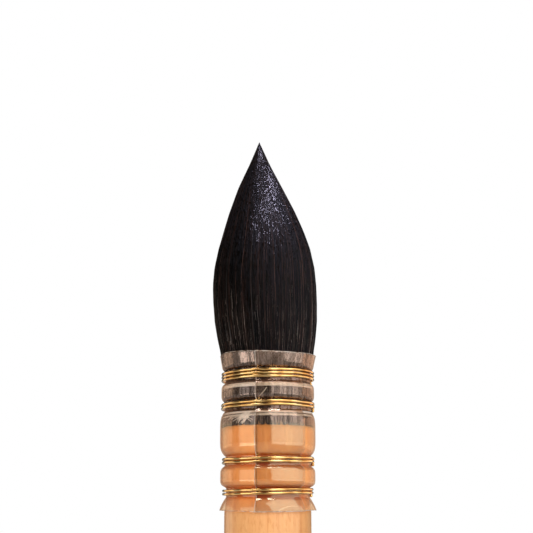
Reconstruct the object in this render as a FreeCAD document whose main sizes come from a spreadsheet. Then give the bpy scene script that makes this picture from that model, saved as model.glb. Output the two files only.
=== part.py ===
import FreeCAD, Part
import os
import Sketcher
from FreeCAD import Placement, Rotation, Vector

# A quill mop brush, point up. A turned wooden handle carries a tenon, a thin rolled film sleeve runs over
# the tenon and the hair, and four windings of brass wire pinch the sleeve down on both. Millimetres and
# degrees. The origin is on the brush's axis where the bare shank ends, just under the sleeve's lower rim. +Z
# runs towards the point, and the sleeve's seam faces -Y.

doc = FreeCAD.newDocument("quill_mop_brush")

# ---------------------------------------------------------------- driving dimensions

SIZES = {
    # handle
    "shank_radius": 7.0,
    "shank_top": 0.0,
    "shank_length": 42.0,
    "handle_drop": 135.0,
    "taper_middle_radius": 5.75,
    "taper_middle_drop": 88.0,
    "tail_radius": 2.9,
    "tail_drop": 132.4,
    "tail_dome_radius": 1.95,
    "tail_dome_drop": 134.25,
    "tenon_top": 13.4,
    # film sleeve
    "film": 0.15,
    "slip": 0.02,
    "rim_low_radius": 7.75,
    "rim_low_height": 0.12,
    "flare_low_radius": 7.38,
    "flare_low_height": 1.2,
    "bead_low_radius": 7.64,
    "bead_low_height": 5.3,
    "bead_middle_radius": 7.71,
    "bead_middle_height": 12.0,
    "bead_high_radius": 7.53,
    "bead_high_height": 19.3,
    "flare_high_radius": 7.5,
    "flare_high_height": 23.7,
    "rim_high_radius": 7.93,
    "rim_high_height": 25.0,
    "lap_start_angle": -105.0,
    "lap_angle": 63.0,
    # brass wire windings, counted from the handle
    "wire_radius": 0.23,
    "wire_pitch": 0.54,
    "wind_1_radius": 7.15,
    "wind_1_height": 2.95,
    "wind_1_turns": 2,
    "wind_2_radius": 7.25,
    "wind_2_height": 7.85,
    "wind_2_turns": 2,
    "wind_3_radius": 7.46,
    "wind_3_height": 16.65,
    "wind_3_turns": 2,
    "wind_4_radius": 7.42,
    "wind_4_height": 21.45,
    "wind_4_turns": 3,
    # thread ties round the hair, inside the sleeve
    "thread_radius": 0.15,
    "thread_pitch": 0.36,
    "tie_turns": 2,
    "tie_low_radius": 6.84,
    "tie_low_height": 15.1,
    "tie_high_radius": 6.96,
    "tie_high_height": 19.7,
    # hair
    "glue_thickness": 0.5,
    "glue_radius": 7.3,
    "bend_height": 28.3,
    "ball_radius": 7.6,
    "bend_clearance": 0.15,
    "collar_radius": 7.35,
    "tuft_bottom": 31.0,
    "tuft_length": 31.5,
    "belly_radius": 8.68,
    "tip_radius": 0.15,
    "tip_lean": 1.46,
}


def fill_sheet():
    """Writes every driving dimension into the sheet, one named cell each."""
    sheet = doc.addObject("Spreadsheet::Sheet", "Dims")
    for row, (alias, value) in enumerate(SIZES.items(), start=1):
        sheet.set(f"A{row}", alias)
        sheet.set(f"B{row}", str(value))
        sheet.setAlias(f"B{row}", alias)
    doc.recompute()
    return sheet


sheet = fill_sheet()


def size(expression):
    """The value that an expression over the sheet has now."""
    return float(sheet.evalExpression(expression))


# ---------------------------------------------------------------- shared ways of drawing

def new_body(name):
    body = doc.addObject("PartDesign::Body", name)
    body.Label = name
    return body


def origin_plane(body, role):
    return next(item for item in body.Origin.OriginFeatures if item.Role == role)


def new_sketch(body, name, role="XZ_Plane"):
    """A sketch on one of the body's own planes. On XZ, its x is the radius and its y is the height."""
    sketch = body.newObject("Sketcher::SketchObject", name)
    sketch.AttachmentSupport = (origin_plane(body, role), "")
    sketch.MapMode = "FlatFace"
    return sketch


def tie_point(sketch, geometry, end, radius, height):
    """Binds one end of an edge to two expressions, or to the axis where the radius is 0."""
    if radius == "0":
        sketch.addConstraint(Sketcher.Constraint("PointOnObject", geometry, end, -2))
    else:
        across = sketch.addConstraint(
            Sketcher.Constraint("DistanceX", -1, 1, geometry, end, size(radius)))
        sketch.setExpression(f"Constraints[{across}]", radius)
    up = sketch.addConstraint(Sketcher.Constraint("DistanceY", -1, 1, geometry, end, size(height)))
    sketch.setExpression(f"Constraints[{up}]", height)


def end_at(sketch, geometry, point):
    """Which end of an edge lies at the point: arcs may store their ends either way round."""
    start = sketch.getPoint(geometry, 1)
    finish = sketch.getPoint(geometry, 2)
    return 1 if start.distanceToPoint(point) < finish.distanceToPoint(point) else 2


def draw_outline(sketch, stops):
    """Closed outline through the stops. A stop is (radius, height), a corner, or (radius, height, "via"),
    the middle of the arc that joins the corners before and after it."""
    points = [Vector(size(stop[0]), size(stop[1]), 0) for stop in stops]
    corners = [index for index, stop in enumerate(stops) if len(stop) == 2]
    edges = []
    for here, there in zip(corners, corners[1:] + corners[:1]):
        start, finish = points[here], points[there]
        if (here + 1) % len(stops) == there:
            edges.append((sketch.addGeometry(Part.LineSegment(start, finish)), here, there))
            continue
        via = here + 1
        arc = sketch.addGeometry(Part.Arc(start, points[via], finish))
        middle = sketch.addGeometry(Part.Point(points[via]), True)
        tie_point(sketch, middle, 1, stops[via][0], stops[via][1])
        sketch.addConstraint(Sketcher.Constraint("PointOnObject", middle, 1, arc))
        edges.append((arc, here, there))
    for (edge, here, there), (following, _, _) in zip(edges, edges[1:] + edges[:1]):
        joint = points[there]
        sketch.addConstraint(Sketcher.Constraint(
            "Coincident", edge, end_at(sketch, edge, joint), following, end_at(sketch, following, joint)))
    for edge, here, _ in edges:
        tie_point(sketch, edge, end_at(sketch, edge, points[here]), stops[here][0], stops[here][1])


def turn(body, name, stops, start_angle=None, sweep_angle=None, cut=False):
    """Turns an outline about the axis, all the way round unless two angles are named."""
    sketch = new_sketch(body, name + "_outline")
    draw_outline(sketch, stops)
    kind = "PartDesign::Groove" if cut else "PartDesign::Revolution"
    feature = body.newObject(kind, name)
    feature.Profile = sketch
    feature.ReferenceAxis = (sketch, ["V_Axis"])
    feature.Angle = 360
    if start_angle:
        sketch.setExpression("AttachmentOffset.Rotation.Angle", start_angle)
        sketch.AttachmentOffset = Placement(Vector(), Rotation(Vector(0, 1, 0), size(start_angle)))
        feature.setExpression("Angle", sweep_angle)
    doc.recompute()
    body.Tip = feature
    return feature


# ---------------------------------------------------------------- the sleeve's run of waists and beads

def waist_radius(number):
    """Film radius under a winding: two layers of film fit under the wire at the seam."""
    return f"Dims.wind_{number}_radius - Dims.wire_radius - Dims.film - Dims.slip"


def waist_edge(number, side):
    """Height of a waist's lower (-1) or upper (+1) edge."""
    half = f"(Dims.wind_{number}_turns * Dims.wire_pitch / 2 + Dims.wire_radius)"
    return f"Dims.wind_{number}_height {'+' if side > 0 else '-'} {half}"


def sleeve_run(inset):
    """The sleeve's line from its lower rim to its upper rim, the inset nearer the axis."""
    def stop(radius, height, *kind):
        return (f"{radius} - {inset}", height, *kind)

    run = [stop("Dims.rim_low_radius", "Dims.rim_low_height"),
           stop("Dims.flare_low_radius", "Dims.flare_low_height", "via")]
    beads = ["low", "middle", "high"]
    for number in range(1, 5):
        run.append(stop(waist_radius(number), waist_edge(number, -1)))
        run.append(stop(waist_radius(number), waist_edge(number, +1)))
        if number < 4:
            bead = beads[number - 1]
            run.append(stop(f"Dims.bead_{bead}_radius", f"Dims.bead_{bead}_height", "via"))
    run.append(stop("Dims.flare_high_radius", "Dims.flare_high_height", "via"))
    run.append(stop("Dims.rim_high_radius", "Dims.rim_high_height"))
    return run


OUTSIDE = "0"
INSIDE = "Dims.film"
BORE_FILL = "(Dims.film + Dims.slip)"


# ---------------------------------------------------------------- the pieces

def make_handle():
    """Turned wood: rounded tail, long taper, straight shank, a short cone, and the tenon in the sleeve."""
    body = new_body("handle")
    tail = [("0", "-Dims.handle_drop"),
            ("Dims.tail_dome_radius", "-Dims.tail_dome_drop", "via"),
            ("Dims.tail_radius", "-Dims.tail_drop"),
            ("Dims.taper_middle_radius", "-Dims.taper_middle_drop", "via"),
            ("Dims.shank_radius", "Dims.shank_top - Dims.shank_length"),
            ("Dims.shank_radius", "Dims.shank_top")]
    tenon = sleeve_run(BORE_FILL)[2:9]
    turn(body, "turning", tail + tenon + [("0", waist_edge(3, -1))])
    turn(body, "tenon_end", [("0", "Dims.tenon_top"),
                             ("Dims.rim_high_radius", "Dims.tenon_top"),
                             ("Dims.rim_high_radius", "Dims.rim_high_height"),
                             ("0", "Dims.rim_high_height")], cut=True)
    return body


def make_sleeve():
    """Rolled film: one layer all the way round, and a second one over the seam's lap."""
    body = new_body("quill_sleeve")
    turn(body, "wall", sleeve_run(OUTSIDE) + sleeve_run(INSIDE)[::-1])
    turn(body, "lap", sleeve_run("-Dims.film") + sleeve_run("Dims.film / 2")[::-1],
         "Dims.lap_start_angle", "Dims.lap_angle")
    return body


def make_winding(name, radius, height, turns, pitch, strand, knot_length):
    """Turns of wire or thread, with the two ends joined by a short twist on the +X side."""
    body = new_body(name)
    sketch = new_sketch(body, name + "_section")
    first = f"{height} - {turns} * {pitch} / 2"
    circle = sketch.addGeometry(Part.Circle(Vector(size(radius), size(first), 0), Vector(0, 0, 1),
                                            size(strand)))
    tie_point(sketch, circle, 3, radius, first)
    thickness = sketch.addConstraint(Sketcher.Constraint("Radius", circle, size(strand)))
    sketch.setExpression(f"Constraints[{thickness}]", strand)
    coil = body.newObject("PartDesign::AdditiveHelix", name + "_coil")
    coil.Profile = sketch
    coil.ReferenceAxis = (sketch, ["V_Axis"])
    coil.Mode = "pitch-turns-angle"
    coil.setExpression("Pitch", pitch)
    coil.setExpression("Turns", turns)
    doc.recompute()
    twist = body.newObject("PartDesign::AdditiveCylinder", name + "_twist")
    twist.AttachmentSupport = (origin_plane(body, "XY_Plane"), "")
    twist.MapMode = "FlatFace"
    twist.setExpression("Radius", strand + " * 1.2")
    twist.setExpression("Height", f"{turns} * {pitch} + {knot_length} * {strand}")
    twist.setExpression("AttachmentOffset.Base.x", radius + " + " + strand + " * 0.25")
    twist.setExpression("AttachmentOffset.Base.z", f"{first} - {knot_length} * {strand} / 2")
    doc.recompute()
    body.Tip = twist
    return body


def make_root_glue():
    """Disc of glue that holds the hair's root ends, on top of the tenon."""
    disc = doc.addObject("Part::Cylinder", "root_glue")
    disc.Label = "root_glue"
    disc.setExpression("Radius", "Dims.glue_radius")
    disc.setExpression("Height", "Dims.glue_thickness")
    disc.setExpression("Placement.Base.z", "Dims.tenon_top")
    return disc


def tie_groove(body, tie):
    """Groove that a thread tie pulls into the hair."""
    reach = "(Dims.tie_turns * Dims.thread_pitch / 2 + Dims.thread_radius + Dims.slip)"
    floor = f"Dims.tie_{tie}_radius - Dims.thread_radius - Dims.slip"
    low = f"Dims.tie_{tie}_height - {reach}"
    high = f"Dims.tie_{tie}_height + {reach}"
    turn(body, f"tie_{tie}_groove", [(floor, low), ("Dims.rim_high_radius", low),
                                     ("Dims.rim_high_radius", high), (floor, high)], cut=True)


def make_hair_root():
    """The hair inside the sleeve, up to the ball that the free hair bends about."""
    body = new_body("hair_root")
    root_end = "Dims.tenon_top + Dims.glue_thickness"
    fill = sleeve_run(BORE_FILL)[6:13]
    ball_low = "sqrt(Dims.ball_radius ^ 2 - Dims.collar_radius ^ 2)"
    ball = [("Dims.collar_radius", f"Dims.bend_height - {ball_low}"),
            ("Dims.ball_radius * cos(35)", "Dims.bend_height + Dims.ball_radius * sin(35)", "via"),
            ("0", "Dims.bend_height + Dims.ball_radius")]
    turn(body, "bundle", [("0", waist_edge(2, +1))] + fill + ball)
    turn(body, "root_end", [("0", waist_edge(2, -1)),
                            ("Dims.rim_high_radius", waist_edge(2, -1)),
                            ("Dims.rim_high_radius", root_end),
                            ("0", root_end)], cut=True)
    tie_groove(body, "low")
    tie_groove(body, "high")
    return body


def tuft_section(body, number, share, radius, lean):
    """Round section of the free hair, at a share of its length above its lower end."""
    sketch = new_sketch(body, f"section_{number}", "XY_Plane")
    height = f"Dims.tuft_bottom + Dims.tuft_length * {share}"
    sketch.AttachmentOffset = Placement(Vector(0, 0, size(height)), Rotation())
    sketch.setExpression("AttachmentOffset.Base.z", height)
    across = f"-Dims.tip_lean * {lean}"
    circle = sketch.addGeometry(Part.Circle(Vector(size(across), 0, 0), Vector(0, 0, 1), size(radius)))
    sketch.addConstraint(Sketcher.Constraint("PointOnObject", circle, 3, -1))
    place = sketch.addConstraint(Sketcher.Constraint("DistanceX", -1, 1, circle, 3, size(across)))
    sketch.setExpression(f"Constraints[{place}]", across)
    girth = sketch.addConstraint(Sketcher.Constraint("Radius", circle, size(radius)))
    sketch.setExpression(f"Constraints[{girth}]", radius)
    return sketch


def make_hair_tuft():
    """The free hair: a round belly drawn up to a point that leans to -X, hollowed for the ball."""
    body = new_body("hair_tuft")
    belly = "Dims.belly_radius"
    sections = [tuft_section(body, 1, 0.0, f"{belly} * 0.98", 0.2),
                tuft_section(body, 2, 0.15, belly, 0.32),
                tuft_section(body, 3, 0.33, f"{belly} * 0.945", 0.37),
                tuft_section(body, 4, 0.52, f"{belly} * 0.74", 0.52),
                tuft_section(body, 5, 0.75, f"{belly} * 0.4", 0.86),
                tuft_section(body, 6, 1.0, "Dims.tip_radius", 1.0)]
    loft = body.newObject("PartDesign::AdditiveLoft", "free_hair")
    loft.Profile = sections[0]
    loft.Sections = sections[1:]
    loft.Ruled = False
    doc.recompute()
    socket = body.newObject("PartDesign::SubtractiveSphere", "socket")
    socket.AttachmentSupport = (origin_plane(body, "XY_Plane"), "")
    socket.MapMode = "FlatFace"
    socket.setExpression("Radius", "Dims.ball_radius + Dims.bend_clearance")
    socket.setExpression("AttachmentOffset.Base.z", "Dims.bend_height")
    doc.recompute()
    body.Tip = socket
    return body


# ---------------------------------------------------------------- assembly and export

def make_windings():
    """The four brass windings, and the two thread ties inside the sleeve."""
    made = []
    names = ["wire_winding_bottom", "wire_winding_lower", "wire_winding_upper", "wire_winding_top"]
    for number, name in enumerate(names, start=1):
        made.append(make_winding(name, f"Dims.wind_{number}_radius", f"Dims.wind_{number}_height",
                                 f"Dims.wind_{number}_turns", "Dims.wire_pitch", "Dims.wire_radius", 2))
    for tie, name in (("low", "thread_tie_lower"), ("high", "thread_tie_upper")):
        made.append(make_winding(name, f"Dims.tie_{tie}_radius", f"Dims.tie_{tie}_height",
                                 "Dims.tie_turns", "Dims.thread_pitch", "Dims.thread_radius", 1))
    return made


def check(pieces):
    """Stops on a failed feature, or on a piece that is not one sound solid."""
    doc.recompute()
    for item in doc.Objects:
        if "Invalid" in item.State or "Error" in item.State:
            raise RuntimeError(f"{item.Name}: {item.State}")
    for piece in pieces:
        shape = piece.Shape
        if shape.isNull() or not shape.isValid() or len(shape.Solids) != 1:
            raise RuntimeError(f"{piece.Label} is not one sound solid")
        box = shape.optimalBoundingBox(False)
        print(f"{piece.Label:22s} {shape.Volume:10.2f} mm3   z {box.ZMin:8.2f} to {box.ZMax:8.2f}"
              f"   x {box.XMin:6.2f} to {box.XMax:6.2f}")


pieces = [make_handle(), make_sleeve(), *make_windings(), make_root_glue(), make_hair_root(),
          make_hair_tuft()]
check(pieces)
os.makedirs("parts", exist_ok=True)
for piece in pieces:
    piece.Shape.exportStep(f"parts/{piece.Label}.step")
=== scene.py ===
import math

import bpy
import numpy as np
from mathutils import Euler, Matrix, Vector


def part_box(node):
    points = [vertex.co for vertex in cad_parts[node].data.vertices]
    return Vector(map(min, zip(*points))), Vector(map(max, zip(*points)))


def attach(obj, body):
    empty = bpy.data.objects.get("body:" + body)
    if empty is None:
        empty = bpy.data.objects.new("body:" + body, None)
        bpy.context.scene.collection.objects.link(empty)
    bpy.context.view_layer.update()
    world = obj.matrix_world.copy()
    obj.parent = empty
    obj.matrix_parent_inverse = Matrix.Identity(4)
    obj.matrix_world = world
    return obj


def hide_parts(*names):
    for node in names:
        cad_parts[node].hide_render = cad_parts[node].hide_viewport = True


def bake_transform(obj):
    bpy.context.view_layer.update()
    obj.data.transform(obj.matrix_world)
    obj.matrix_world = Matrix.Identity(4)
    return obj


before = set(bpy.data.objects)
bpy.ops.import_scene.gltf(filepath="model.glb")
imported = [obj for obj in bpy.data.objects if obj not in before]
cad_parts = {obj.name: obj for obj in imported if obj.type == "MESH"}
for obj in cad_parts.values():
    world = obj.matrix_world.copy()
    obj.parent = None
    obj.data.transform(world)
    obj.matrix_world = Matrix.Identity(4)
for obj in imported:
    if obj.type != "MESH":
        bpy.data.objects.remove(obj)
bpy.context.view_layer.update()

# A quill mop brush, point up. The brush's own lengths are in millimetres, and mesh() and wire_curve() turn
# them into metres. Bump depths and the lights' distances and sizes are in metres.
# phi is the angle round the brush: 0 at +X, -90 degrees at the front (-Y), where the film's seam is.
MM = 0.001
FRONT = -math.pi / 2

rng = np.random.default_rng(7)


# ---------------------------------------------------------------- what the CAD model gives

def outer_profile(node, step=0.25):
    """Heights and greatest radii of a CAD node, from its own vertices behind the seam's lap."""
    spots = np.empty(len(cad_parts[node].data.vertices) * 3)
    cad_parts[node].data.vertices.foreach_get("co", spots)
    spots = spots.reshape(-1, 3) / MM
    spots = spots[spots[:, 1] > 0]
    radii = np.hypot(spots[:, 0], spots[:, 1])
    bands = np.round(spots[:, 2] / step).astype(int)
    heights, widest = [], []
    for band in np.unique(bands):
        inside = np.flatnonzero(bands == band)
        best = inside[np.argmax(radii[inside])]
        heights.append(spots[best, 2])
        widest.append(radii[best])
    return np.array(heights), np.array(widest)


def middle(node):
    """The middle of a CAD node's box, in millimetres."""
    low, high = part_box(node)
    return (low + high) / 2 / MM


def reach(node):
    """The lowest and highest height of a CAD node, in millimetres."""
    low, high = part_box(node)
    return low.z / MM, high.z / MM


SLEEVE_LOW, SLEEVE_HIGH = reach("quill_sleeve")
TAIL, TENON_TOP = reach("handle")
ROOT_LOW = reach("hair_root")[0]
FILM = 0.15
SLEEVE = outer_profile("quill_sleeve")
BEAD_BULGE = 0.07
BEAD_FLATNESS = 5
FLARE_SHOULDER = 0.45
FLARE_EASE = 0.16

WINDINGS = ["wire_winding_bottom", "wire_winding_lower", "wire_winding_upper", "wire_winding_top"]
WAISTS = [reach(node) for node in WINDINGS]


def sleeve_radius(height):
    """The film's outer radius: flat-sided beads between the waists that the wire pulls in, and the upper
    flare. The lower flare is the CAD sleeve's own."""
    height = np.asarray(height, float)
    radius = np.interp(height, *SLEEVE)
    for (_, low), (high, _) in zip(WAISTS, WAISTS[1:]):
        floor = np.interp(height, [low, high], np.interp([low, high], *SLEEVE))
        run = np.linspace(low, high, 40)
        top = np.interp(run, *SLEEVE).max()
        place = np.clip((2 * height - low - high) / (high - low), -1, 1)
        bead = floor + (top + BEAD_BULGE - floor) * (1 - np.abs(place) ** BEAD_FLATNESS)
        radius = np.where((height > low) & (height < high), bead, radius)
    flare_start = WAISTS[-1][1]
    climb = np.maximum(height - flare_start, 0)
    waist, rim = np.interp([flare_start, SLEEVE_HIGH], *SLEEVE)
    shoulder = waist + (rim - waist) * FLARE_SHOULDER
    slope = (rim - shoulder) / (SLEEVE_HIGH - flare_start)
    flare = shoulder + slope * climb - (shoulder - waist) * np.exp(-climb / FLARE_EASE)
    return np.where(height > flare_start, flare, radius)


# ---------------------------------------------------------------- meshes

def mesh(name, points, *face_sets):
    """A mesh piece from points in millimetres and sets of faces. The faces of a set have the same number of
    corners."""
    data = bpy.data.meshes.new(name)
    points = np.asarray(points, float).reshape(-1, 3) * MM
    face_sets = [np.asarray(faces, int) for faces in face_sets]
    corners = np.concatenate([faces.ravel() for faces in face_sets])
    sizes = np.concatenate([np.full(len(faces), faces.shape[1]) for faces in face_sets])
    data.vertices.add(len(points))
    data.vertices.foreach_set("co", points.ravel())
    data.loops.add(len(corners))
    data.loops.foreach_set("vertex_index", corners)
    data.polygons.add(len(sizes))
    data.polygons.foreach_set("loop_start", np.cumsum(sizes) - sizes)
    data.polygons.foreach_set("loop_total", sizes)
    data.polygons.foreach_set("use_smooth", np.full(len(sizes), True))
    data.update(calc_edges=True)
    data.validate()
    piece = bpy.data.objects.new(name, data)
    bpy.context.scene.collection.objects.link(piece)
    return piece


def grid_faces(rows, columns):
    """Quads of a grid whose points run column by column along each row, and whose rows close into rings."""
    row, column = np.meshgrid(np.arange(rows - 1), np.arange(columns), indexing="ij")
    up, along = row + 1, (column + 1) % columns
    quads = [row * columns + column, row * columns + along, up * columns + along, up * columns + column]
    return np.stack(quads, axis=-1).reshape(-1, 4)


def closed_grid(rows, columns):
    """The quads of a grid of rings, and the two faces that close its first and last ring."""
    end = np.arange(columns)[None, :]
    return grid_faces(rows, columns), end[:, ::-1], end + (rows - 1) * columns


def ring(radius, phi, height):
    """Points at a radius, an angle and a height, as x, y, z."""
    radius, phi, height = np.broadcast_arrays(radius, phi, height)
    return np.stack([radius * np.cos(phi), radius * np.sin(phi), height], axis=-1)


def lathe(name, heights, radii, segments, ripple):
    """A turned piece, closed at both ends. ripple gives the share by which each point's radius changes."""
    phi = np.linspace(0, 2 * math.pi, segments, endpoint=False)
    radii = np.repeat(np.asarray(radii, float)[:, None], segments, axis=1)
    heights = np.repeat(np.asarray(heights, float)[:, None], segments, axis=1)
    radii = radii * (1 + ripple(phi[None, :], heights))
    return mesh(name, ring(radii, phi[None, :], heights), *closed_grid(len(radii), segments))


def tubes(name, lines, thickness, sides=3, facing=None):
    """Many thin strands in one piece. lines is strands x points x 3, thickness is strands x points. facing
    gives the direction that each point is shaded from."""
    lines = np.asarray(lines, float)
    strands, points, _ = lines.shape
    along = np.gradient(lines, axis=1)
    along /= np.maximum(np.linalg.norm(along, axis=-1, keepdims=True), 1e-9)
    outward = lines * [1, 1, 0] + 1e-6
    across = np.cross(along, outward)
    across /= np.maximum(np.linalg.norm(across, axis=-1, keepdims=True), 1e-9)
    beside = np.cross(across, along)
    turn = np.linspace(0, 2 * math.pi, sides, endpoint=False)[None, None, :, None]
    spread = np.cos(turn) * beside[:, :, None, :] + np.sin(turn) * across[:, :, None, :]
    body = lines[:, :, None, :] + spread * np.asarray(thickness)[:, :, None, None]
    starts = np.arange(strands)[:, None, None] * points * sides
    face_sets = [(one[None] + starts).reshape(-1, one.shape[1]) for one in closed_grid(points, sides)]
    piece = mesh(name, body, *face_sets)
    if facing is not None:
        piece.data.normals_split_custom_set_from_vertices(np.repeat(facing, sides, axis=1).reshape(-1, 3))
    return piece


def smooth_noise(count, points, knots, size):
    """One smooth random wander per strand: knots random values, joined along its points."""
    values = rng.normal(0, size, (count, knots))
    where = np.linspace(0, knots - 1, points)
    low = np.minimum(where.astype(int), knots - 2)
    share = where - low
    share = share * share * (3 - 2 * share)
    return values[:, low] * (1 - share) + values[:, low + 1] * share


# ---------------------------------------------------------------- material helpers

def grey(level):
    return (level, level, level)


class Nodes:
    """A material's node tree with short calls for what is used here."""

    def __init__(self, name):
        self.material = bpy.data.materials.new(name)
        self.material.use_nodes = True
        self.tree = self.material.node_tree
        self.tree.nodes.clear()
        self.out = self.tree.nodes.new("ShaderNodeOutputMaterial")

    def add(self, kind, **settings):
        node = self.tree.nodes.new("ShaderNode" + kind)
        for key, value in settings.items():
            setattr(node, key, value)
        return node

    def link(self, source, target):
        self.tree.links.new(source, target)

    def place(self, scale):
        """Object coordinates, scaled."""
        where = self.add("TexCoord")
        scaled = self.add("Mapping")
        scaled.inputs["Scale"].default_value = scale
        self.link(where.outputs["Object"], scaled.inputs["Vector"])
        return scaled.outputs["Vector"]

    def noise(self, scale, detail=4.0, rough=0.5, vector_scale=(1, 1, 1), distortion=0.0):
        texture = self.add("TexNoise")
        texture.inputs["Scale"].default_value = scale
        texture.inputs["Detail"].default_value = detail
        texture.inputs["Roughness"].default_value = rough
        texture.inputs["Distortion"].default_value = distortion
        self.link(self.place(vector_scale), texture.inputs["Vector"])
        return texture.outputs["Fac"]

    def ramp(self, source, stops):
        """Colours at places from 0 to 1."""
        ramp = self.add("ValToRGB")
        marks = ramp.color_ramp.elements
        while len(marks) < len(stops):
            marks.new(0.5)
        for mark, (place, colour) in zip(marks, stops):
            mark.position = place
            mark.color = (*colour, 1)
        self.link(source, ramp.inputs["Fac"])
        return ramp.outputs["Color"]

    def mix(self, share, first, second, blend="MIX"):
        """Two colours mixed. Sockets 0, 6 and 7 of the node are the share and the two colours."""
        mix = self.add("Mix", data_type="RGBA", blend_type=blend)
        for socket, value in ((mix.inputs[0], share), (mix.inputs[6], first), (mix.inputs[7], second)):
            if hasattr(value, "is_linked"):
                self.link(value, socket)
            elif isinstance(value, tuple):
                socket.default_value = (*value, 1)
            else:
                socket.default_value = value
        return mix.outputs[2]

    def math(self, operation, *values):
        node = self.add("Math", operation=operation)
        for socket, value in zip(node.inputs, values):
            if hasattr(value, "is_linked"):
                self.link(value, socket)
            else:
                socket.default_value = value
        return node.outputs["Value"]

    def power(self, source, exponent):
        return self.math("POWER", source, exponent)

    def facing(self):
        """0 where the surface is seen face on, 1 where it is seen edge on."""
        weight = self.add("LayerWeight")
        weight.inputs["Blend"].default_value = 0.5
        return weight.outputs["Facing"]

    def upward(self, low, high):
        """Object height as 0 at low and 1 at high, in millimetres."""
        parts = self.add("SeparateXYZ")
        self.link(self.place((1, 1, 1)), parts.inputs["Vector"])
        span = self.add("MapRange")
        span.inputs["From Min"].default_value = low * MM
        span.inputs["From Max"].default_value = high * MM
        self.link(parts.outputs["Z"], span.inputs["Value"])
        return span.outputs["Result"]

    def blend(self, share, first, second):
        """Two shaders mixed."""
        mixed = self.add("MixShader")
        self.link(share, mixed.inputs["Fac"])
        self.link(first, mixed.inputs[1])
        self.link(second, mixed.inputs[2])
        return mixed.outputs["Shader"]

    def bump(self, source, strength, distance):
        bump = self.add("Bump")
        bump.inputs["Strength"].default_value = strength
        bump.inputs["Distance"].default_value = distance
        self.link(source, bump.inputs["Height"])
        return bump.outputs["Normal"]

    def principled(self, colour, roughness, normal=None, **plain):
        shader = self.add("BsdfPrincipled")
        for key, value in plain.items():
            shader.inputs[key.replace("_", " ")].default_value = value
        for key, value in (("Base Color", colour), ("Roughness", roughness), ("Normal", normal)):
            if hasattr(value, "is_linked"):
                self.link(value, shader.inputs[key])
            elif isinstance(value, tuple):
                shader.inputs[key].default_value = (*value, 1)
            elif value is not None:
                shader.inputs[key].default_value = value
        return shader.outputs["BSDF"]

    def finish(self, shader):
        self.link(shader, self.out.inputs["Surface"])
        return self.material


# ---------------------------------------------------------------- materials

def lacquered_wood():
    """Pale wood with upright grain and pores, more orange where the sleeve covers it."""
    nodes = Nodes("lacquered_wood")
    grain = nodes.noise(900, detail=5, rough=0.62, vector_scale=(1, 1, 0.035), distortion=0.4)
    broad = nodes.noise(170, detail=3, rough=0.5, vector_scale=(1, 1, 0.05), distortion=0.8)
    fine = nodes.ramp(grain, [(0.30, (0.76, 0.32, 0.105)), (0.43, (0.90, 0.44, 0.165)),
                              (0.58, (0.93, 0.48, 0.19)), (0.74, (1.0, 0.61, 0.29))])
    wide = nodes.ramp(broad, [(0.35, (0.94, 0.88, 0.82)), (0.65, grey(1.0))])
    soaked = nodes.ramp(nodes.upward(SLEEVE_LOW - 0.4, SLEEVE_LOW + 0.6),
                        [(0.0, grey(0.86)), (1.0, (1.0, 0.80, 0.53))])
    colour = nodes.mix(1.0, nodes.mix(1.0, fine, wide, "MULTIPLY"), soaked, "MULTIPLY")
    pores = nodes.ramp(nodes.noise(3200, detail=3, rough=0.6, vector_scale=(1, 1, 0.25)),
                       [(0.36, (0.91, 0.84, 0.76)), (0.5, grey(1.0))])
    colour = nodes.mix(1.0, colour, pores, "MULTIPLY")
    rough = nodes.ramp(grain, [(0.2, grey(0.42)), (0.8, grey(0.3))])
    return nodes.finish(nodes.principled(colour, rough, nodes.bump(grain, 0.25, 0.00005), Coat_Weight=0.25,
                                         Coat_Roughness=0.12, Specular_IOR_Level=0.35))


def brass_wire():
    """Drawn brass with brown tarnish."""
    nodes = Nodes("brass_wire")
    drawn = nodes.noise(2600, detail=3)
    tarnish = nodes.noise(420, detail=4)
    colour = nodes.ramp(tarnish, [(0.3, (0.36, 0.14, 0.03)), (0.5, (0.88, 0.55, 0.19)),
                                  (0.75, (0.98, 0.77, 0.40))])
    rough = nodes.ramp(drawn, [(0.3, grey(0.09)), (0.7, grey(0.18))])
    return nodes.finish(nodes.principled(colour, rough, nodes.bump(drawn, 0.15, 0.00003), Metallic=1.0))


def hair(name, dark, middle_tone, light, gloss, level):
    """Near-black hair: a tone of its own for each strand, and slow changes along it."""
    nodes = Nodes(name)
    geometry = nodes.add("NewGeometry")
    tone = nodes.ramp(geometry.outputs["Random Per Island"],
                      [(0.0, dark), (0.62, dark), (0.88, middle_tone), (1.0, light)])
    streak = nodes.noise(700, detail=4, rough=0.6, vector_scale=(1, 1, 0.12))
    shade = nodes.ramp(streak, [(0.35, grey(0.45)), (0.65, (1.4, 1.3, 1.2))])
    glint = nodes.noise(4600, detail=2, rough=0.7, vector_scale=(1, 1, 0.14))
    rough = nodes.ramp(glint, [(0.49, grey(0.75)), (0.57, grey(gloss))])
    return nodes.finish(nodes.principled(nodes.mix(1.0, tone, shade, "MULTIPLY"), rough,
                                         nodes.bump(glint, 0.8, 0.0001), Specular_IOR_Level=level))


def hair_core():
    """What shows between the strands: black with faint upright streaks."""
    nodes = Nodes("hair_core")
    streak = nodes.noise(1500, detail=4, rough=0.6, vector_scale=(1, 1, 0.05))
    colour = nodes.ramp(streak, [(0.35, grey(0.004)), (0.7, (0.03, 0.027, 0.026))])
    return nodes.finish(nodes.principled(colour, 0.55, nodes.bump(streak, 0.6, 0.0001)))


# Painted shade: the film's see-through colour along each wire waist, darker and redder, so the wood under it
# looks shaded next to the wires.
WIRE_SHADE_TINT = (0.90, 0.78, 0.70)
WIRE_SHADE_EDGE = 0.5


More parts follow.
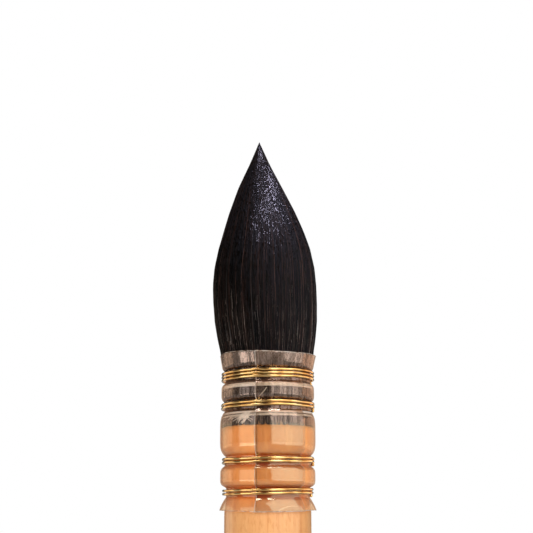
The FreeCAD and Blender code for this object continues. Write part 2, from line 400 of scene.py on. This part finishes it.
def clear_film():
    """Thin amber film: see-through face on, milky where it is seen edge on, and tinted darker and redder
    along the wires as painted shade. Over the hair its gloss breaks up into fine upright streaks."""
    nodes = Nodes("clear_film")
    streaks = nodes.noise(2300, detail=4, rough=0.65, vector_scale=(1, 1, 0.05))
    edge_on = nodes.power(nodes.facing(), 2.5)
    height = nodes.upward(SLEEVE_LOW, SLEEVE_HIGH)
    span = SLEEVE_HIGH - SLEEVE_LOW
    wood_end = (TENON_TOP - SLEEVE_LOW) / span
    stretched = nodes.ramp(height, [(0.0, grey(0.09)), (0.09, grey(0.0)),
                                    (0.9, grey(0.0)), (1.0, grey(0.05))])
    streaked = nodes.ramp(streaks, [(0.35, grey(0.0)), (0.7, grey(0.035))])
    milk = nodes.math("MULTIPLY_ADD", edge_on, 0.5, nodes.math("ADD", streaked, stretched))
    stops = []
    # Painted shade along each waist, fading out over WIRE_SHADE_EDGE millimetres either side.
    for low, high in WAISTS:
        for place, colour in ((low - WIRE_SHADE_EDGE, grey(1.0)), (low, WIRE_SHADE_TINT), (high, WIRE_SHADE_TINT),
                              (high + WIRE_SHADE_EDGE, grey(1.0))):
            stops.append(((place - SLEEVE_LOW) / span, colour))
    wire_shade = nodes.ramp(height, stops)
    clear = nodes.add("BsdfTransparent")
    tinted = nodes.mix(edge_on, (0.999, 0.984, 0.960), (0.84, 0.67, 0.50))
    nodes.link(nodes.mix(1.0, tinted, wire_shade, "MULTIPLY"), clear.inputs["Color"])
    tone = nodes.ramp(height, [(wood_end - 0.03, (0.88, 0.54, 0.32)),
                               (wood_end + 0.03, (0.56, 0.36, 0.26))])
    body = nodes.blend(milk, clear.outputs["BSDF"], nodes.principled(tone, 0.35))
    gloss = nodes.add("BsdfGlossy")
    sheen = nodes.ramp(height, [(wood_end - 0.02, (0.86, 0.95, 0.70)),
                                (wood_end + 0.02, (1.0, 0.76, 0.64))])
    nodes.link(sheen, gloss.inputs["Color"])
    gloss.inputs["Roughness"].default_value = 0.08
    nodes.link(nodes.bump(streaks, 0.35, 0.00003), gloss.inputs["Normal"])
    side = nodes.add("NewGeometry")
    outside = nodes.math("SUBTRACT", 1.0, side.outputs["Backfacing"])
    over_hair = nodes.ramp(streaks, [(0.40, grey(0.03)), (0.60, grey(0.14))])
    hair_above = nodes.ramp(height, [(wood_end - 0.02, grey(0.0)), (wood_end + 0.02, grey(1.0))])
    share = nodes.math("MULTIPLY", outside, nodes.mix(hair_above, grey(0.075), over_hair))
    return nodes.finish(nodes.blend(share, body, gloss.outputs["BSDF"]))


def film_edge():
    """A cut edge of the film: pale, with painted glints where it is bright in broken stretches."""
    nodes = Nodes("film_edge")
    broken = nodes.noise(900, detail=3, rough=0.6, vector_scale=(1, 1, 0.4))
    share = nodes.ramp(broken, [(0.38, grey(0.2)), (0.6, grey(0.65))])
    clear = nodes.add("BsdfTransparent")
    clear.inputs["Color"].default_value = (0.98, 0.93, 0.86, 1)
    tone = nodes.ramp(broken, [(0.3, (0.80, 0.62, 0.48)), (0.7, (0.95, 0.90, 0.84))])
    pale = nodes.principled(tone, 0.25)
    return nodes.finish(nodes.blend(share, clear.outputs["BSDF"], pale))


def seam_shade_and_glue():
    """The line of glue that holds the film's lap down, made dark as painted shade of the gap beside the
    seam, and faint where it lies over the wood.
    """
    nodes = Nodes("seam_shade_and_glue")
    broken = nodes.noise(700, detail=3, rough=0.6, vector_scale=(1, 1, 0.3))
    patches = nodes.ramp(broken, [(0.35, grey(0.1)), (0.6, grey(0.6))])
    faint = nodes.ramp(nodes.upward(TENON_TOP - 0.5, TENON_TOP + 0.5),
                       [(0.0, grey(0.12)), (1.0, grey(1.0))])
    share = nodes.math("MULTIPLY", patches, faint)
    clear = nodes.add("BsdfTransparent")
    clear.inputs["Color"].default_value = (0.95, 0.9, 0.84, 1)
    tone = nodes.ramp(broken, [(0.3, (0.10, 0.05, 0.03)), (0.7, (0.26, 0.13, 0.07))])
    dark = nodes.principled(tone, 0.3)
    return nodes.finish(nodes.blend(share, clear.outputs["BSDF"], dark))


def natural_thread():
    """Undyed thread with a fuzzy surface."""
    nodes = Nodes("natural_thread")
    fuzz = nodes.noise(3500, detail=4, rough=0.7)
    colour = nodes.ramp(fuzz, [(0.3, (0.74, 0.60, 0.50)), (0.6, (0.96, 0.88, 0.80)),
                               (0.8, (0.98, 0.95, 0.91))])
    return nodes.finish(nodes.principled(colour, 0.8, nodes.bump(fuzz, 0.6, 0.00004), Sheen_Weight=0.3))


def amber_glue():
    """Hard brown glue with a lumpy surface."""
    nodes = Nodes("amber_glue")
    lumps = nodes.noise(500, detail=3)
    colour = nodes.ramp(lumps, [(0.3, (0.20, 0.09, 0.03)), (0.7, (0.48, 0.27, 0.12))])
    return nodes.finish(nodes.principled(colour, 0.4, nodes.bump(lumps, 0.4, 0.0001)))


# ---------------------------------------------------------------- handle

TAIL_ROUND = 4
TAPER_TOP = -45
TENON_GAP = 0.03
TENON_EDGE_HEIGHT = 0.7
TENON_EDGE_DEPTH = 0.35
END_RADIUS = 0.02


def make_handle():
    """The turned handle: the CAD outline as one smooth turning, with faint tool marks."""
    run = np.concatenate([np.linspace(TAIL, TAIL + TAIL_ROUND, 30),
                          np.linspace(TAIL + TAIL_ROUND, TAPER_TOP, 90)[1:],
                          np.linspace(TAPER_TOP, TENON_TOP, 150)[1:]])
    radius = np.interp(run, *outer_profile("handle", step=0.1))
    in_sleeve = run > WAISTS[0][0]
    radius[in_sleeve] = sleeve_radius(run[in_sleeve]) - FILM - TENON_GAP
    radius -= TENON_EDGE_DEPTH * np.clip((run - TENON_TOP) / TENON_EDGE_HEIGHT + 1, 0, 1)
    radius[0] = END_RADIUS

    def ripple(phi, height):
        return 0.0007 * np.sin(height * 5.1 + np.sin(phi)) + 0.0008 * np.sin(phi * 3 + height * 0.05)

    piece = lathe("turned_handle", run, radius, 192, ripple)
    piece.data.materials.append(lacquered_wood())
    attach(piece, "brush")
    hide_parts("handle")
    return piece


# ---------------------------------------------------------------- film sleeve

LAP_START = math.radians(-105)
LAP_END = math.radians(-42)
LAP_SLOPE = 0.12
LAP_GAP = 0.02
UPPER_RIM = 2.2
LOWER_RIM = 1.6
TRIM_INSET = 0.03


def film_sheet(phi, height, inset=0.0):
    """Points of the rolled sheet at an angle round it and a height, inset under its outer face. The second
    layer climbs over the first where the lap starts, and both rims wave in and out, and up and down."""
    lift = np.clip((phi - (LAP_START + 2 * math.pi - LAP_SLOPE)) / LAP_SLOPE, 0, 1)
    near_high = np.clip((height - (SLEEVE_HIGH - UPPER_RIM)) / UPPER_RIM, 0, 1) ** 2
    near_low = np.clip((SLEEVE_LOW + LOWER_RIM - height) / LOWER_RIM, 0, 1) ** 2
    radius = sleeve_radius(height) + lift * (FILM + LAP_GAP) \
        + near_high * (0.10 * np.sin(phi * 3 + 0.6) + 0.05 * np.sin(phi * 7)) \
        + near_low * (0.06 * np.sin(phi * 4 + 1) + 0.04 * np.sin(phi * 9 + 2))
    height = height + near_high * (0.14 * np.sin(phi * 2 + 0.8) - 0.10 * lift) \
        + near_low * (-0.10 * lift + 0.08 * np.sin(phi * 2 + 2.0))
    slant = 0.012 * (height - SLEEVE_HIGH / 2) / SLEEVE_HIGH
    return ring(radius - inset, phi + slant, height)


def make_sleeve(film, edge, glue):
    """One sheet of film rolled once round and lapped over itself at the front, with uneven flared rims, and
    the trims that show its cut edges, pale with painted glints, and its line of glue, darkened as painted
    shade of the gap beside the seam. Gives back the sheet."""
    around = np.linspace(LAP_START, LAP_END + 2 * math.pi, 300)
    heights = np.linspace(SLEEVE_LOW, SLEEVE_HIGH, 150)
    phi, height = np.meshgrid(around, heights, indexing="ij")
    outer = film_sheet(phi, height)
    inner = film_sheet(phi, height, FILM * 0.85)
    loop = np.concatenate([outer, inner[:, ::-1]], axis=1)
    rows, columns, _ = loop.shape
    low = np.arange(columns // 2 - 1)
    cap = np.stack([low, low + 1, columns - 2 - low, columns - 1 - low], axis=-1)
    quads = np.concatenate([grid_faces(rows, columns), cap[:, ::-1], cap + (rows - 1) * columns])
    piece = mesh("film_sleeve", loop, quads[:, ::-1])
    piece.data.materials.append(film)
    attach(piece, "brush")
    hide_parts("quill_sleeve")
    full = np.linspace(LAP_START, LAP_END + 2 * math.pi, 700)
    # Cut-edge trims, pale with painted glints in broken stretches.
    trims = [("rim_edge_top", full, SLEEVE_HIGH, edge, 0.05),
             ("rim_edge_bottom", full, SLEEVE_LOW, edge, 0.05),
             ("seam_edge_front", LAP_START + 2 * math.pi, heights, edge, 0.05),
             ("seam_edge_lap", LAP_END + 2 * math.pi, heights, edge, 0.03),
             # Glue line beside the seam, darkened as painted shade of the gap there.
             ("seam_shade_and_glue_line", LAP_START + 2 * math.pi + 0.035, heights, glue, 0.035)]
    for name, where, level, material, thickness in trims:
        where, level = np.broadcast_arrays(where, level)
        line = film_sheet(where, level, TRIM_INSET)
        trim = tubes(name, line[None], np.full((1, len(line)), thickness), 5)
        trim.data.materials.append(material)
        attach(trim, "brush")
    return piece


# ---------------------------------------------------------------- wire windings

def wire_curve(name, points, thickness):
    """A round wire along a smooth line of points in millimetres."""
    data = bpy.data.curves.new(name, "CURVE")
    data.dimensions = "3D"
    spline = data.splines.new("POLY")
    spline.points.add(len(points) - 1)
    flat = np.concatenate([np.asarray(points) * MM, np.ones((len(points), 1))], axis=1)
    spline.points.foreach_set("co", flat.ravel())
    data.bevel_depth = thickness * MM
    data.bevel_resolution = 5
    data.use_fill_caps = True
    piece = bpy.data.objects.new(name, data)
    bpy.context.scene.collection.objects.link(piece)
    return piece


WIRE = 0.205
PITCH = 0.53
TWIST_TURNS = 2.5
TWIST_LENGTH = 0.16


def make_winding(node, turns, material, end_angle):
    """Turns of wire pulled into the sleeve's waist, the two ends twisted together on the right."""
    radius = -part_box(node)[0].x / MM - WIRE
    centre = middle(node).z
    steps = 110 * turns
    share = np.linspace(0, 1, steps)
    phi = end_angle + share * turns * 2 * math.pi
    sway = 0.035 * np.sin(phi * 2.0 + centre) + 0.03 * np.sin(phi * 5 + 2 * centre)
    height = centre + (share - 0.5) * turns * PITCH + sway
    bump = 0.015 * np.sin(phi * 4 + centre * 3)
    path = ring(radius + bump, phi, height)
    twist = np.linspace(0, 1, 40)
    ends = []
    for side in (0, 1):
        angle = twist * TWIST_TURNS * 2 * math.pi + side * math.pi
        lead = ring(radius + 0.12 + 0.14 * np.cos(angle) * twist ** 0.3,
                    end_angle + twist * TWIST_LENGTH + 0.024 * np.sin(angle),
                    centre + (side - 0.5) * turns * PITCH * (1 - twist) ** 2 + twist * 0.35)
        ends.append(lead)
    path = np.concatenate([ends[0][::-1], path, ends[1]])
    piece = wire_curve(node.replace("wire_winding", "brass_turns"), path, WIRE)
    piece.data.materials.append(material)
    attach(piece, "brush")
    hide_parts(node)
    return piece


# ---------------------------------------------------------------- threads

PLIES = 3
PLY_THICKNESS = 0.09
PLY_TWIST = 55
TIE_DEPTH = 0.19


def make_tie(node, material, sag, spacing):
    """A thread tie of two turns, its three plies twisted round each other."""
    centre = middle(node).z
    radius = sleeve_radius(centre) - FILM - TIE_DEPTH
    steps = 900
    share = np.linspace(0, 1, steps)
    phi = share * 4 * math.pi
    plies = []
    for ply in range(PLIES):
        turn = phi * PLY_TWIST + ply * 2 * math.pi / PLIES
        height = centre + (share - 0.5) * 2 * spacing + sag * np.sin(phi + 0.6)
        plies.append(ring(radius + 0.06 * np.cos(turn), phi, height + 0.11 * np.sin(turn)))
    thick = np.full((PLIES, steps), PLY_THICKNESS)
    piece = tubes(node.replace("thread_tie", "tied_thread"), np.array(plies), thick, 5)
    piece.data.materials.append(material)
    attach(piece, "brush")
    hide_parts(node)


KNOT_PHI = FRONT - 0.47
STRAY_TOP = 19.2
STRAY_END = 17.7


def make_knot(material):
    """The knot of the lower tie with its frayed ends, and one stray end of thread, under the film."""
    tie_height = middle("thread_tie_lower").z
    count, points = 22, 14
    along = np.linspace(0, 1, points)[None, :]
    phi0 = KNOT_PHI + rng.normal(0, 0.035, (count, 1))
    drift = rng.normal(-0.08, 0.18, (count, 1))
    fall = rng.uniform(0.9, 2.0, (count, 1)) * (1 - 1.2 * np.abs(drift + 0.08))
    phi = phi0 + drift * along + 0.04 * np.sin(along * 5 + drift * 20)
    height = tie_height + 0.05 - fall * along + rng.normal(0, 0.08, (count, 1))
    radius = sleeve_radius(height) - FILM - 0.06
    lines = ring(radius, phi, height)
    thick = np.full((count, points), PLY_THICKNESS) * (1 - 0.4 * along)
    frayed = tubes("frayed_knot", lines, thick, 4)
    turns = np.linspace(0, 1, 160)
    knot = ring(sleeve_radius(tie_height) - FILM - 0.28 + 0.12 * np.cos(turns * 31),
                KNOT_PHI + 0.055 * np.sin(turns * 12.6) + 0.02 * np.sin(turns * 40),
                tie_height - 0.05 + 0.32 * np.cos(turns * 18.8))
    lump = tubes("knot_lump", knot[None], np.full((1, len(turns)), 0.1), 6)
    run = np.linspace(0, 1, 24)
    heights = np.linspace(STRAY_TOP, STRAY_END, len(run))
    stray_line = ring(sleeve_radius(heights) - FILM - 0.09, FRONT - 0.03 - 0.17 * run ** 1.3, heights)
    stray = tubes("stray_thread", stray_line[None], np.full((1, len(run)), 0.055), 5)
    for piece in (frayed, lump, stray):
        piece.data.materials.append(material)
        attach(piece, "brush")


def make_glue():
    """The glue between the tenon and the hair's root ends, with an uneven upper face."""
    heights = [TENON_TOP + 0.01, TENON_TOP + 0.02, TENON_TOP + 0.3, ROOT_LOW + 0.1, ROOT_LOW + 0.12]
    radii = [END_RADIUS, 7.25, 7.3, 7.1, END_RADIUS]
    piece = lathe("glue_bed", heights, radii, 96,
                  lambda phi, height: 0.01 * np.sin(phi * 9 + height) + 0.006 * np.sin(phi * 23))
    piece.data.materials.append(amber_glue())
    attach(piece, "brush")
    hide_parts("root_glue")


# ---------------------------------------------------------------- hair

TIES = ["thread_tie_lower", "thread_tie_upper"]
POINT = 62.65
FREE_FROM = 25.3
RIM_RADIUS = 7.62
HAIR_GAP = 0.12
TIE_SQUEEZE = 0.26
CORE_DEPTH = 0.16


def bundle_radius(height):
    """Outer radius of the hair: inside the film up to the rim, then the belly and the straight-sided point.
    The free part's heights and radii were read off the silhouette in the photo, like bundle_centre's."""
    free_heights = [FREE_FROM, 27.8, 30.8, 34.0, 37.0, 40.0, 43.2, 46.4, 49.6, 54.0, 58.3, 60.5, POINT]
    free_radii = [RIM_RADIUS, 8.12, 8.52, 8.67, 8.66, 8.43, 7.77, 6.78, 5.67, 3.86, 1.84, 0.92, 0.05]
    free = np.interp(height, free_heights, free_radii)
    inside = np.minimum(sleeve_radius(height) - FILM - HAIR_GAP, RIM_RADIUS)
    for node in TIES:
        inside = inside - TIE_SQUEEZE * np.exp(-((height - middle(node).z) / 0.5) ** 4)
    return np.where(height < FREE_FROM, inside, free)


def bundle_centre(height):
    """How far the hair's middle leans to the left at a height."""
    return -np.interp(height, [20, 26, 31, 34, 37, 43, 46, 50, 54, 57, POINT],
                      [0, 0.13, 0.33, 0.43, 0.53, 0.55, 0.66, 0.93, 1.25, 1.36, 1.46])


def make_core(material):
    """The dense inside of the bundle, streaked lengthwise, so that nothing shows between the strands."""
    heights = np.concatenate([np.linspace(ROOT_LOW + 0.55, 25, 60), np.linspace(25.4, POINT - 0.6, 120)])
    phi = np.linspace(0, 2 * math.pi, 240, endpoint=False)
    streaks = sum(rng.normal(0, 0.004) * np.sin(phi * k + rng.uniform(0, 6.28)) for k in range(20, 110, 3))
    radius = (bundle_radius(heights) - CORE_DEPTH).clip(0.03)[:, None] * (0.985 + streaks[None, :])
    radius[0] = END_RADIUS
    points = ring(radius, phi[None, :], heights[:, None])
    points[..., 0] += bundle_centre(heights)[:, None]
    piece = mesh("hair_bundle", points, *closed_grid(len(heights), len(phi)))
    piece.data.materials.append(material)
    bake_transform(piece)
    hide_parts("hair_root", "hair_tuft")


def strand_layer(name, material, count, depth, thickness, shortest, longest, wander):
    """Strands from the ragged root ends upward. depth is how far under the surface they lie, as a share of
    the radius; shortest and longest are the shares of the free length that they reach."""
    points = 40
    phi = rng.uniform(0, 2 * math.pi, (count, 1))
    teeth = 0.5 + 0.5 * np.sin(phi * 64 + 2 * np.sin(phi * 13))
    root = TENON_TOP - 0.10 + 1.05 * teeth ** 2 + rng.uniform(0, 0.1, (count, 1))
    reach_share = longest - rng.uniform(0, 1, (count, 1)) ** 2.2 * (longest - shortest)
    top = SLEEVE_HIGH + (POINT - SLEEVE_HIGH) * reach_share
    along = np.linspace(0, 1, points)[None, :] ** 0.9
    height = root + (top - root) * along
    angle = phi + smooth_noise(count, points, 6, wander)
    level = 1 - rng.uniform(0, depth, (count, 1)) + smooth_noise(count, points, 5, 0.004)
    radius = bundle_radius(height) * level - 0.02
    lines = ring(radius, angle, height)
    lines[..., 0] += bundle_centre(height)
    fade = np.clip((1 - along) / 0.35, 0, 1) ** 0.7
    thick = thickness * rng.uniform(0.7, 1.3, (count, 1)) * (0.12 + 0.88 * fade)
    slope = np.gradient(bundle_radius(height), axis=1) / np.gradient(height, axis=1)
    lean = smooth_noise(count, points, 8, 0.10) + rng.normal(0, 0.13, (count, 1))
    tip = rng.normal(0, 0.08, (count, points)) - slope
    facing = np.stack([np.cos(angle) - lean * np.sin(angle), np.sin(angle) + lean * np.cos(angle), tip],
                      axis=-1)
    facing /= np.linalg.norm(facing, axis=-1, keepdims=True)
    piece = tubes(name, lines, thick, facing=facing)
    piece.data.materials.append(material)
    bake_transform(piece)
    return piece


# ---------------------------------------------------------------- studio

def area_light(name, azimuth, elevation, distance, width, height, power, colour=(1, 1, 1), aim=(0, 0, 20)):
    """A soft box at an azimuth, 0 in front of the brush and positive to the right, and an elevation, both in
    degrees. Its distance, width and height are in metres, and the spot it aims at is in millimetres."""
    data = bpy.data.lights.new(name, "AREA")
    data.shape = "RECTANGLE"
    data.size, data.size_y = width, height
    data.energy = power
    data.color = colour
    light = bpy.data.objects.new(name, data)
    side, up = math.radians(azimuth), math.radians(elevation)
    aim = Vector(aim) * MM
    away = Vector((math.sin(side) * math.cos(up), -math.cos(side) * math.cos(up), math.sin(up)))
    light.location = aim + away * distance
    light.rotation_mode = "QUATERNION"
    light.rotation_quaternion = (light.location - aim).to_track_quat("Z", "Y")
    bpy.context.scene.collection.objects.link(light)
    return light


def light_link(light, pieces, state="INCLUDE", use="receiver_collection"):
    """Makes a light fall on these pieces alone, or with EXCLUDE on all but these. With blocker_collection
    the same is said of the pieces that can shade it."""
    linked = bpy.data.collections.new(light.name + "_" + use)
    for piece in pieces:
        linked.objects.link(piece)
    for entry in linked.collection_objects:
        entry.light_linking.link_state = state
    setattr(light.light_linking, use, linked)


WORLD_LIGHT = 0.13
FLOOR_RADIUS = 4000
FLOOR_GLOW = 0.55


def surroundings():
    """White where the camera sees past the brush, and a weak even light from all round."""
    scene = bpy.context.scene
    scene.view_settings.view_transform = "Standard"
    world = bpy.data.worlds.new("studio")
    scene.world = world
    world.use_nodes = True
    tree = world.node_tree
    seen = tree.nodes.new("ShaderNodeLightPath")
    strength = tree.nodes.new("ShaderNodeMapRange")
    strength.inputs["To Min"].default_value = WORLD_LIGHT
    strength.inputs["To Max"].default_value = 1.0
    tree.links.new(seen.outputs["Is Camera Ray"], strength.inputs["Value"])
    tree.links.new(strength.outputs["Result"], tree.nodes["Background"].inputs["Strength"])
    tree.nodes["Background"].inputs["Color"].default_value = (1, 1, 1, 1)


def make_floor():
    """A pale floor under the tail. The camera sees it partly by a glow of its own, which keeps it even."""
    corners = 64
    around = np.linspace(0, 2 * math.pi, corners, endpoint=False)
    floor = mesh("floor", ring(FLOOR_RADIUS, around, TAIL - 0.1), np.arange(corners)[None, :])
    nodes = Nodes("floor")
    grain = nodes.noise(60, detail=4)
    tone = nodes.ramp(grain, [(0.3, (0.857, 0.857, 0.855)), (0.7, (0.867, 0.867, 0.862))])
    glow = nodes.add("Emission")
    nodes.link(tone, glow.inputs["Color"])
    seen = nodes.add("LightPath")
    share = nodes.math("MULTIPLY", seen.outputs["Is Camera Ray"], FLOOR_GLOW)
    lit = nodes.principled(tone, 0.7)
    floor.data.materials.append(nodes.finish(nodes.blend(share, lit, glow.outputs[0])))
    return floor


def studio():
    """The surroundings, the floor, and the soft boxes that light every piece."""
    surroundings()
    shared = [area_light("left_box", -56, 10, 0.5, 0.32, 0.46, 0.46),
              area_light("left_back_box", -118, 4, 0.6, 0.5, 0.3, 0.7, (1.0, 0.84, 0.66)),
              area_light("right_box", 51, 10, 0.55, 0.98, 0.46, 2.35),
              area_light("front_fill", -8, 12, 0.6, 0.3, 0.3, 1.15, (1.0, 0.93, 0.86))]
    for light in (shared[0], shared[-1]):
        light.visible_glossy = False
    floor = make_floor()
    for light in shared:
        light_link(light, [floor], "EXCLUDE")
    light_link(area_light("ceiling", 0, 90, 1.6, 2.0, 2.0, 22.0), [floor])


def light_film_and_wire(pieces):
    """The boxes that film and wire only mirror: brown on the right, a pale upright band on the left, a
    bright patch low on the left, a wide one high on the right, and two that glint under the wires."""
    for name, azimuth, elevation, width, height, power, colour in (
            ("right_back_box", 122, 0, 0.62, 0.3, 1.0, (1.0, 0.66, 0.45)),
            ("left_window", -55, 4, 0.34, 0.46, 0.8, (0.92, 0.93, 0.95)),
            ("left_low_box", -55, -14, 0.34, 0.16, 0.45, (1.0, 0.90, 0.80)),
            ("right_high_box", 48, 48, 0.7, 0.36, 1.5, (1.0, 1.0, 1.0)),
            ("glint_left", -56, 66, 0.14, 0.12, 0.6, (1.0, 1.0, 1.0)),
            ("glint_right", 36, 72, 0.24, 0.06, 0.45, (1.0, 1.0, 1.0))):
        light = area_light(name, azimuth, elevation, 0.55, width, height, power, colour)
        light.visible_diffuse = False
        light_link(light, pieces)
        if name.startswith("glint"):
            light_link(light, pieces, "EXCLUDE", "blocker_collection")


def camera():
    """In front of the brush, level with the sleeve's lower rim, tilted up."""
    aside, distance, height, tilt, lens = -0.21, 170.5, 1.3, 12.93, 69.6
    data = bpy.data.cameras.new("camera")
    data.lens = lens
    data.sensor_width = 36
    data.clip_start = 0.01
    view = bpy.data.objects.new("camera", data)
    view.location = Vector((aside, -distance, height)) * MM
    view.rotation_euler = Euler((math.radians(90 + tilt), 0, 0))
    bpy.context.scene.collection.objects.link(view)
    bpy.context.scene.camera = view


# ---------------------------------------------------------------- the scene

camera()
studio()
wood_fill = area_light("wood_fill", 6, 12, 0.6, 0.9, 0.3, 1.6)
wood_fill.visible_glossy = False
light_link(wood_fill, [make_handle()])
shiny = [make_sleeve(clear_film(), film_edge(), seam_shade_and_glue())]
wire = brass_wire()
for node, turns, end_angle in zip(WINDINGS, (2, 2, 2, 3), (0.22, 0.08, 0.16, 0.3)):
    shiny.append(make_winding(node, turns, wire, end_angle))
light_film_and_wire(shiny)
thread = natural_thread()
make_tie("thread_tie_lower", thread, 0.05, 0.46)
make_tie("thread_tie_upper", thread, 0.03, 0.30)
make_knot(thread)
make_glue()
make_core(hair_core())
dark_hair = hair("dark_hair", (0.0035, 0.0032, 0.0028), (0.018, 0.0085, 0.0065), (0.06, 0.033, 0.028),
                 0.11, 0.1)
light_hair = hair("light_hair", (0.07, 0.055, 0.05), (0.30, 0.24, 0.22), (0.85, 0.78, 0.74), 0.3, 0.2)
strands = [strand_layer("hair_outer", dark_hair, 2200, 0.02, 0.05, 0.80, 1.0, 0.012),
           strand_layer("hair_under", dark_hair, 1600, 0.05, 0.06, 0.55, 1.0, 0.02),
           strand_layer("hair_light", light_hair, 1000, 0.004, 0.011, 0.03, 0.30, 0.008)]
top_box = area_light("top_box", 34, 60, 0.5, 0.12, 0.07, 7.5, (0.78, 0.73, 1.0), (0, 0, 45))
top_box.visible_diffuse = False
light_link(top_box, strands)
